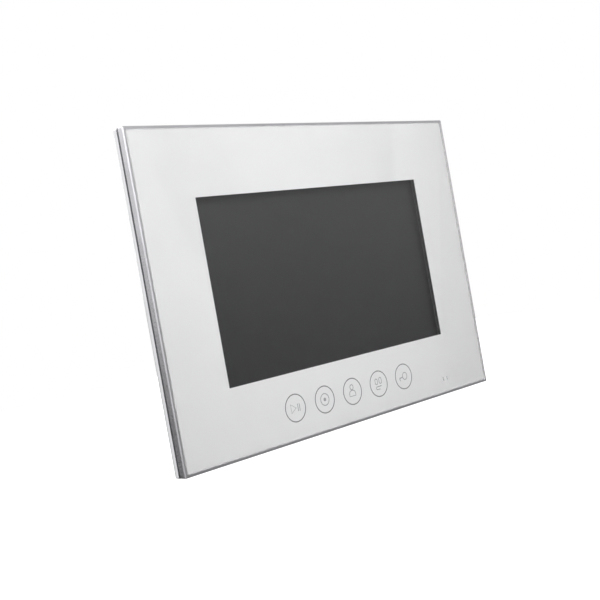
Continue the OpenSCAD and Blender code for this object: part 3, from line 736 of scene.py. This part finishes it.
def leg_spots():
    spots = []
    for x, z, w, h, side_legs, end_legs, pitch in CHIPS:
        for i in range(side_legs):
            along = (i - (side_legs - 1) / 2) * pitch
            spots += [(x + w / 2, z + along, 0), (x - w / 2, z + along, 180)]
        for i in range(end_legs):
            along = (i - (end_legs - 1) / 2) * pitch
            spots += [(x + along, z + h / 2, -90), (x + along, z - h / 2, 90)]
    return [(x * MM, BOARD_BACK, z * MM, turn) for x, z, turn in spots]


def end_spots(resistors):
    """Where the two tinned ends of each resistor go."""
    spots = []
    for x, y, z, turn in resistors:
        for side in (-1, 1):
            reach = side * 0.67 * MM
            spots.append((x + reach, y, z, 0) if turn == 0 else (x, y, z + reach, 90))
    return spots


def solder_joint():
    """Cone of solder on the board's front, with the cut end of a pin standing out of it."""
    deselect()
    bpy.ops.mesh.primitive_cone_add(vertices=20, radius1=0.85 * MM, radius2=0.34 * MM,
                                    depth=0.7 * MM, location=(0, -0.35 * MM, 0),
                                    rotation=FACING_FRONT)
    settle(bpy.context.object)
    start_edit()
    faces_towards((0, -1, 0))
    bpy.ops.mesh.inset(thickness=0.1 * MM)
    extrude(0, -0.18 * MM, 0)
    bpy.ops.mesh.select_all(action="SELECT")
    bpy.ops.mesh.bevel(offset=0.06 * MM, segments=2, affect="EDGES")
    return end_edit()


def can_mark():
    """Dark segment printed on the top of a can, over the side of its minus lead."""
    deselect()
    bpy.ops.mesh.primitive_circle_add(vertices=48, radius=2.6 * MM, fill_type="NGON",
                                      rotation=FACING_FRONT)
    settle(bpy.context.object)
    start_edit()
    bpy.ops.mesh.bisect(plane_co=(-1.1 * MM, 0, 0), plane_no=(1, 0, 0), clear_outer=True)
    bpy.ops.mesh.select_all(action="SELECT")
    extrude(0, 0.02 * MM, 0)
    return end_edit()


tinned = sheet_metal("solder_tin", (0.74, 0.75, 0.76), 0.3, scratch=0.2)
resistor_black = moulded("resistor_black", (0.025, 0.025, 0.028), 0.5, 0.15, 0.01, 0.2)
can_ink = ink("can_ink", (0.03, 0.03, 0.035))
contact_gold = sheet_metal("contact_gold", (0.86, 0.63, 0.27), 0.25, scratch=0.2)

joined("chip_legs", copies(bent_leg(0.35 * MM, 0.6 * MM), leg_spots()), tinned)

resistor_spots = [((x + i * dx) * MM, BOARD_BACK, (z + i * dz) * MM, turn)
                  for x, z, count, dx, dz, turn in RESISTOR_ROWS for i in range(count)]
resistor_body = block(1.1 * MM, 0.45 * MM, 0.8 * MM, 0.05 * MM)
joined("resistor_bodies", copies(resistor_body, resistor_spots), resistor_black)
resistor_end = block(0.24 * MM, 0.5 * MM, 0.84 * MM, 0.05 * MM)
joined("resistor_ends", copies(resistor_end, end_spots(resistor_spots)), tinned)

joint_spots = [((x + (i - (pins - 1) / 2) * PIN_PITCH) * MM, BOARD_FRONT, SOCKET_Z * MM, 0)
               for x, pins in SOCKETS for i in range(pins)]
joined("solder_joints", copies(solder_joint(), joint_spots), tinned)

can_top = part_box("capacitors")[1][1]
can_spots = [(x * MM, can_top, z * MM, 0) for x, z in CANS]
joined("can_marks", copies(can_mark(), can_spots), can_ink)

# Contacts of the memory card, on its front face
card_lo, card_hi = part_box("sd_card")
contact_spots = [(card_lo[0] + (1.9 + CONTACT_PITCH * i) * MM, card_lo[1] - 0.03 * MM,
                  card_hi[2] - 2.1 * MM, 0) for i in range(CONTACTS)]
contact = block(0.75 * MM, 0.04 * MM, 2.6 * MM, 0.008 * MM)
joined("card_contacts", copies(contact, contact_spots), contact_gold, "card")
